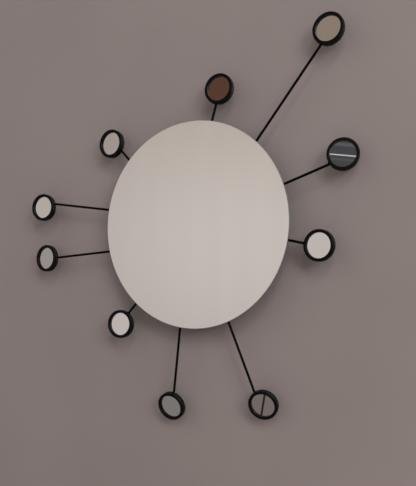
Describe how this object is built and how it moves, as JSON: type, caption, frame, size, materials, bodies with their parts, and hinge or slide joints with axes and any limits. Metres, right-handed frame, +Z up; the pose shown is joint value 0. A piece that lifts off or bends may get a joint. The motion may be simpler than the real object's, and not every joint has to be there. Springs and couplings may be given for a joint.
{
  "type": "round mirror",
  "caption": "Wall mirror: a large frameless round glass, with small round mirrors in turned black cups on straight rods around it, each leaning on a pin.",
  "frame": {"origin": "on the wall plane, at the centre of the wall screws, on the axis of the large glass", "axes": "+X to the right seen from the front, +Y into the wall, +Z up; the glass faces -Y"},
  "size_m": [0.9086, 0.05, 0.936],
  "materials": {
    "main_glass": "silvered float glass with a polished, lightly chamfered edge",
    "small_glass": "silvered float glass, plain edge",
    "cup_black": "turned aluminium in satin black lacquer",
    "rod_black": "steel rod in satin black lacquer",
    "plate_black": "sheet steel in fine black powder coat",
    "bracket_zinc": "bent sheet steel, zinc plated",
    "post_steel": "turned steel, bright zinc plated",
    "screw_black": "blackened steel screws",
    "pin_steel": "bright drawn steel pins",
    "foam_tape": "black double-sided foam tape",
    "foot_rubber": "soft black rubber",
    "washer_nylon": "natural nylon friction washers"
  },
  "bodies": {
    "carrier": {"main_mirror": "main_glass", "mirror_pads": "foam_tape", "back_plate": "plate_black", "arm_sockets": "plate_black", "arm_set_screws": "screw_black", "wall_bracket": "bracket_zinc", "hanging_posts": "post_steel", "spacer_posts": "post_steel", "rubber_feet": "foot_rubber", "post_screws": "screw_black", "pivot_pins": "pin_steel", "friction_washers": "washer_nylon", "arm_01": "rod_black", "arm_02": "rod_black", "arm_03": "rod_black", "arm_04": "rod_black", "arm_05": "rod_black", "arm_06": "rod_black", "arm_07": "rod_black", "arm_08": "rod_black", "arm_09": "rod_black", "arm_10": "rod_black"},
    "head_01": {"head_cup_01": "cup_black", "head_mirror_01": "small_glass", "head_tape_01": "foam_tape"},
    "head_02": {"head_cup_02": "cup_black", "head_mirror_02": "small_glass", "head_tape_02": "foam_tape"},
    "head_03": {"head_cup_03": "cup_black", "head_mirror_03": "small_glass", "head_tape_03": "foam_tape"},
    "head_04": {"head_cup_04": "cup_black", "head_mirror_04": "small_glass", "head_tape_04": "foam_tape"},
    "head_05": {"head_cup_05": "cup_black", "head_mirror_05": "small_glass", "head_tape_05": "foam_tape"},
    "head_06": {"head_cup_06": "cup_black", "head_mirror_06": "small_glass", "head_tape_06": "foam_tape"},
    "head_07": {"head_cup_07": "cup_black", "head_mirror_07": "small_glass", "head_tape_07": "foam_tape"},
    "head_08": {"head_cup_08": "cup_black", "head_mirror_08": "small_glass", "head_tape_08": "foam_tape"},
    "head_09": {"head_cup_09": "cup_black", "head_mirror_09": "small_glass", "head_tape_09": "foam_tape"},
    "head_10": {"head_cup_10": "cup_black", "head_mirror_10": "small_glass", "head_tape_10": "foam_tape"}
  },
  "joints": [
    {"name": "head_tilt_01", "type": "hinge", "parent": "carrier", "child": "head_01", "pos_m": [0.05626, -0.03551, 0.28819], "axis": [-0.9742, -0.0174, 0.2249], "range_deg": [-24, 20]},
    {"name": "head_tilt_02", "type": "hinge", "parent": "carrier", "child": "head_02", "pos_m": [0.31529, -0.03545, 0.38885], "axis": [-0.865, 0.0518, 0.4992], "range_deg": [-22, 22]},
    {"name": "head_tilt_03", "type": "hinge", "parent": "carrier", "child": "head_03", "pos_m": [0.33899, -0.03561, 0.12586], "axis": [-0.5439, -0.0677, 0.8364], "range_deg": [-34, 10]},
    {"name": "head_tilt_04", "type": "hinge", "parent": "carrier", "child": "head_04", "pos_m": [0.2846, -0.03551, -0.04888], "axis": [0.1564, -0.0174, 0.9875], "range_deg": [-17, 27]},
    {"name": "head_tilt_05", "type": "hinge", "parent": "carrier", "child": "head_05", "pos_m": [0.16358, -0.03558, -0.39514], "axis": [0.8365, -0.0687, 0.5437], "range_deg": [-36, 8]},
    {"name": "head_tilt_06", "type": "hinge", "parent": "carrier", "child": "head_06", "pos_m": [-0.05871, -0.03556, -0.41446], "axis": [0.9646, 0.0517, -0.2587], "range_deg": [-35, 9]},
    {"name": "head_tilt_07", "type": "hinge", "parent": "carrier", "child": "head_07", "pos_m": [-0.19439, -0.03549, -0.21893], "axis": [0.7932, 0.0174, -0.6087], "range_deg": [-16, 28]},
    {"name": "head_tilt_08", "type": "hinge", "parent": "carrier", "child": "head_08", "pos_m": [-0.42959, -0.03549, -0.07169], "axis": [0.0435, -0.0523, -0.9977], "range_deg": [-25, 19]},
    {"name": "head_tilt_09", "type": "hinge", "parent": "carrier", "child": "head_09", "pos_m": [-0.43733, -0.03554, 0.07148], "axis": [0.1994, -0.0165, -0.9798], "range_deg": [-17, 27]},
    {"name": "head_tilt_10", "type": "hinge", "parent": "carrier", "child": "head_10", "pos_m": [-0.21918, -0.03552, 0.19986], "axis": [-0.5663, -0.0171, -0.824], "range_deg": [-24, 20]}
  ]
}
